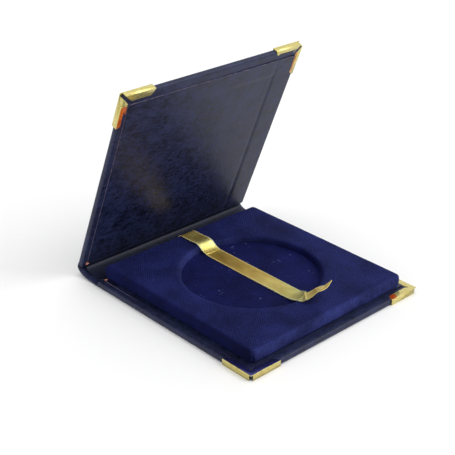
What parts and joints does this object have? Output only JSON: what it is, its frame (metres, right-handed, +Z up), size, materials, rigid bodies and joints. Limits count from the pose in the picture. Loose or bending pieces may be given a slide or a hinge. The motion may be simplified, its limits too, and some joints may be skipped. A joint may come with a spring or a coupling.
{
  "type": "hinged medal presentation case",
  "caption": "Book-style leatherette presentation case with a velvet insert, a round well for a large coin or medal, a lift ribbon and folded brass corners.",
  "frame": {"origin": "centre of the base's underside, on the surface that the case stands on", "axes": "+X along the two folds, towards the right as seen from the opening edge; +Y from the opening edge towards the spine; +Z up"},
  "size_m": [0.1212, 0.1337, 0.1155],
  "materials": {
    "leatherette": "satin",
    "lining": "satin",
    "greyboard": "matte",
    "velvet": "matte",
    "satin": "satin",
    "brass": "polished"
  },
  "bodies": {
    "base": {"base_board": "greyboard", "base_cover": "leatherette", "base_lining": "lining", "insert_base_board": "greyboard", "insert_ring_board": "greyboard", "velvet_cover": "velvet", "well_floor_card": "greyboard", "well_floor_velvet": "velvet", "ribbon": "satin", "base_corner_left": "brass", "base_corner_right": "brass"},
    "spine": {"spine_cover": "leatherette", "spine_card": "greyboard", "spine_lining": "lining"},
    "lid": {"lid_board": "greyboard", "lid_cover": "leatherette", "lid_lining": "lining", "lid_corner_left": "brass", "lid_corner_right": "brass"}
  },
  "joints": [
    {"name": "spine_fold", "type": "hinge", "parent": "base", "child": "spine", "pos_m": [0, 0.0593, 0.00036], "axis": [1, 0, 0], "range_deg": [-17.5, 68.7], "deforming": ["ribbon"]},
    {"name": "lid_hinge", "type": "hinge", "parent": "spine", "child": "lid", "pos_m": [0, 0.07475, 0.00523], "axis": [1, 0, 0], "range_deg": [-93.8, 0]}
  ]
}
